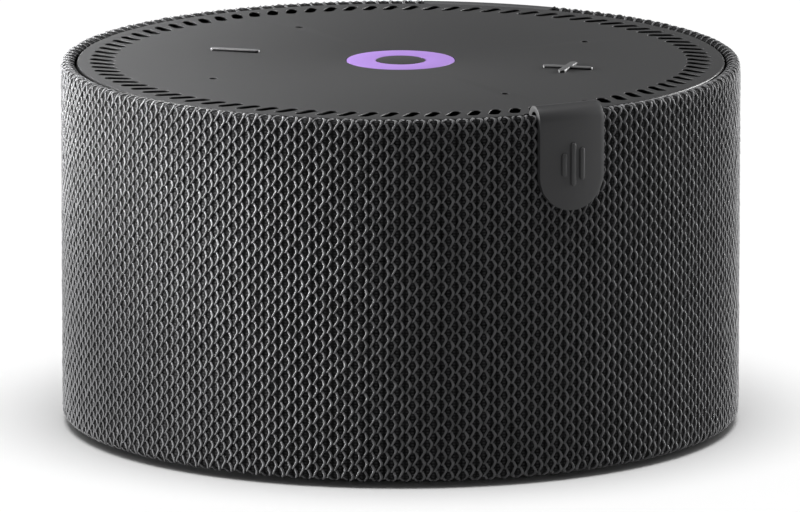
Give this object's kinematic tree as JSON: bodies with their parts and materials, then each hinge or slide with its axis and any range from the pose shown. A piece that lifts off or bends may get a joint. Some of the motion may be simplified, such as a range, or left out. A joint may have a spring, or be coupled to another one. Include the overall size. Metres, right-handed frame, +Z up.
{
  "type": "smart home hub",
  "caption": "Squat round smart home hub with a net fabric wall, a slotted touch plate with a lit ring on top, a soft rim tab, and a rear panel with sockets and a push button.",
  "frame": {"origin": "middle of the underside, on the surface that the object stands on", "axes": "+Z up through the middle of the touch plate, +Y to the rear panel with the sockets, +X to the right as seen from the front, with the plus mark on +X"},
  "size_m": [0.098, 0.098, 0.0542],
  "materials": {
    "net_fabric": "dark grey knitted net",
    "plate_plastic": "fine matte, dark grey",
    "shell_plastic": "matte black",
    "tab_rubber": "satin dark grey silicone",
    "foot_rubber": "matte black",
    "lit_diffuser": "translucent, lit violet",
    "white_diffuser": "white",
    "circuit_board": "green solder mask",
    "chip_black": "moulded black",
    "led_white": "white package",
    "microphone_can": "plated can",
    "steel": "zinc plated",
    "ferrite": "sintered, matte",
    "coil_copper": "enamelled wire",
    "cone_paper": "coated paper",
    "spider_cloth": "impregnated cloth",
    "button_plastic": "fine matte",
    "heat_silicone": "soft pad",
    "ribbon_film": "flexible film",
    "lead_sleeve": "wire insulation"
  },
  "bodies": {
    "housing": {"fabric_sleeve": "net_fabric", "rear_panel": "shell_plastic", "rim_tab": "tab_rubber", "top_plate": "plate_plastic", "light_ring": "lit_diffuser", "ring_core": "plate_plastic", "light_guide": "white_diffuser", "led_1": "led_white", "led_2": "led_white", "led_3": "led_white", "led_4": "led_white", "led_5": "led_white", "led_6": "led_white", "touch_board": "circuit_board", "mic_seal_1": "foot_rubber", "mic_seal_2": "foot_rubber", "mic_seal_3": "foot_rubber", "mic_seal_4": "foot_rubber", "microphone_1": "microphone_can", "microphone_2": "microphone_can", "microphone_3": "microphone_can", "microphone_4": "microphone_can", "top_tray": "shell_plastic", "body_shell": "shell_plastic", "base_cover": "shell_plastic", "foot_ring": "foot_rubber", "base_screw_1": "steel", "base_screw_2": "steel", "base_screw_3": "steel", "base_screw_4": "steel", "speaker_box": "shell_plastic", "baffle": "shell_plastic", "driver_basket": "steel", "driver_gasket": "foot_rubber", "driver_washer": "steel", "driver_magnet": "ferrite", "driver_yoke": "steel", "driver_surround": "foot_rubber", "driver_spider": "spider_cloth", "driver_screw_1": "steel", "driver_screw_2": "steel", "driver_screw_3": "steel", "driver_screw_4": "steel", "main_board": "circuit_board", "shield_can": "steel", "heat_pad": "heat_silicone", "lead_connector": "white_diffuser", "dc_jack": "chip_black", "audio_jack": "chip_black", "mute_switch": "chip_black", "switch_board": "circuit_board", "ribbon_cable": "ribbon_film", "speaker_lead": "lead_sleeve", "antenna": "ribbon_film"},
    "cone": {"driver_cone": "cone_paper", "driver_dust_cap": "cone_paper", "driver_voice_coil": "coil_copper"},
    "mute_key": {"mute_button": "button_plastic", "switch_plunger": "chip_black"}
  },
  "joints": [
    {"name": "cone_travel", "type": "slide", "parent": "housing", "child": "cone", "axis": [0, 0, 1], "range_m": [-0.002, 0.002], "stiffness_N_per_m": 2000, "deforming": ["driver_surround", "driver_spider"]},
    {"name": "mute_press", "type": "slide", "parent": "housing", "child": "mute_key", "axis": [0, -1, 0], "range_m": [0, 0.0007], "stiffness_N_per_m": 1500, "springref_m": -0.0003}
  ]
}
